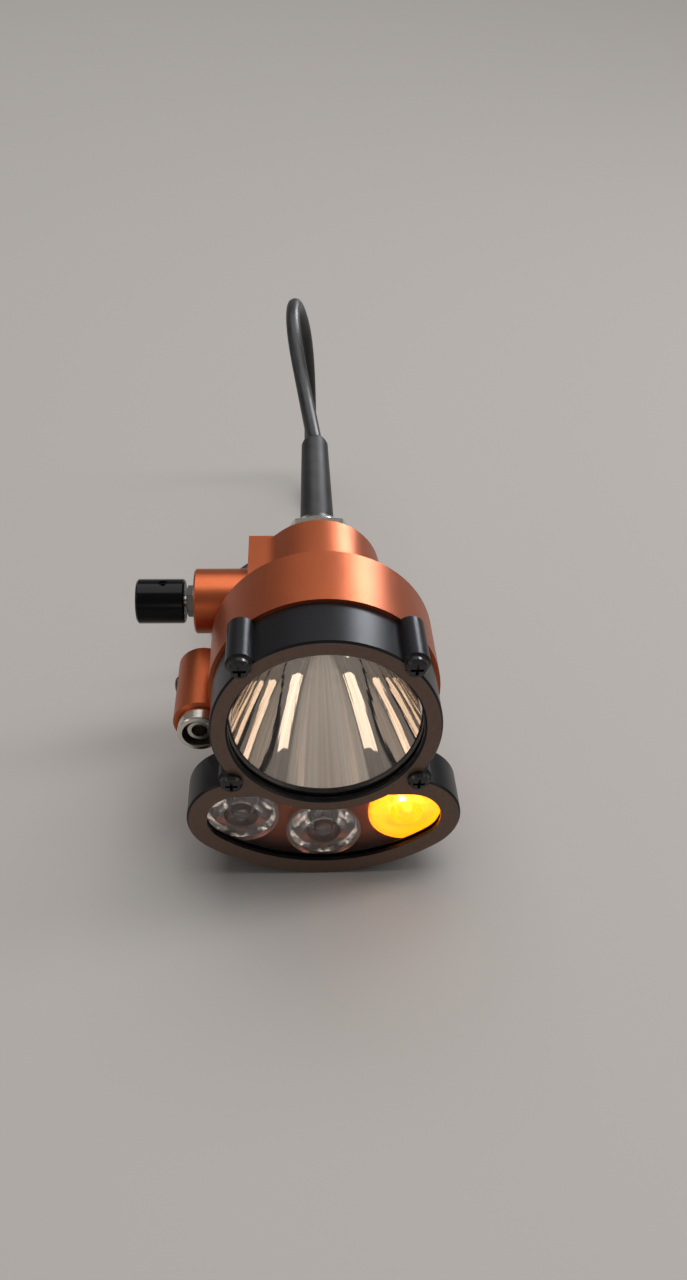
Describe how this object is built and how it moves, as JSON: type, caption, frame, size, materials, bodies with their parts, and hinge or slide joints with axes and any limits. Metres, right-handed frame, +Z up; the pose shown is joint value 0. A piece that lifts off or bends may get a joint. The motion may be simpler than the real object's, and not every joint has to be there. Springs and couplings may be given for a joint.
{
  "type": "miner's cap lamp",
  "caption": "Cap lamp headpiece with a deep main reflector, auxiliary optics in a lower lobe, a side rotary switch, a charging socket, a hook blade and a corded plug.",
  "frame": {"origin": "middle of the hook blade's lower end, at the level of the surface the lamp rests on", "axes": "+X to the side away from the switch, +Y from the lens to the back, +Z up"},
  "size_m": [0.0878, 0.2234, 0.0906],
  "materials": {
    "black_anodised": "satin anodised, broken edges",
    "copper_anodised": "satin bead-blasted, copper-orange anodised",
    "black_screw": "black oxide, glossy",
    "clear_glass": "clear, polished",
    "clear_optic": "moulded clear acrylic",
    "amber_optic": "moulded clear acrylic over an amber LED",
    "mirror": "vacuum-metallised, smooth",
    "nickel": "bright nickel plate",
    "rubber": "satin black rubber",
    "steel": "bright steel",
    "blade_paint": "black powder coat",
    "aluminium_inner": "machined",
    "circuit_board": "solder mask",
    "led": "phosphor under a clear dome",
    "dark_zinc": "black zinc plate",
    "black_plastic": "moulded"
  },
  "bodies": {
    "lamp": {"bezel": "black_anodised", "bezel_frame": "black_anodised", "front_housing": "copper_anodised", "rear_housing": "copper_anodised", "bezel_screws": "black_screw", "jack_lock_screw": "black_screw", "main_lens": "clear_glass", "aux_window": "clear_glass", "optic_left": "clear_optic", "optic_centre": "clear_optic", "optic_right": "amber_optic", "reflector": "mirror", "jack_shell": "nickel", "jack_sleeve": "nickel", "gland_body": "nickel", "gland_nut": "nickel", "gland_locknut": "nickel", "plug_barrel": "nickel", "main_lens_seal": "rubber", "aux_window_seal": "rubber", "housing_seal": "rubber", "gland_seal": "rubber", "strain_relief": "rubber", "cord_run": "rubber", "cord_coil": "rubber", "cord_tail": "rubber", "plug_body": "rubber", "mount_screws": "steel", "board_spacers": "steel", "mount_blade": "blade_paint", "led_pedestal": "aluminium_inner", "aux_heat_plate": "aluminium_inner", "main_led_board": "circuit_board", "aux_board": "circuit_board", "driver_board": "circuit_board", "main_led": "led", "aux_leds": "led", "switch_bushing": "dark_zinc", "switch_nut": "dark_zinc", "switch_washer": "dark_zinc", "switch_body": "black_plastic", "jack_insulator": "black_plastic", "optic_holders": "black_plastic", "driver_coil": "black_plastic", "driver_capacitors": "black_plastic"},
    "knob": {"knob": "black_anodised", "knob_set_screw": "black_screw", "switch_shaft": "steel"}
  },
  "joints": [
    {"name": "knob_turn", "type": "hinge", "parent": "lamp", "child": "knob", "pos_m": [-0.0449, -0.025, 0.053], "axis": [-1, 0, 0], "range_deg": [-150, 150]}
  ]
}
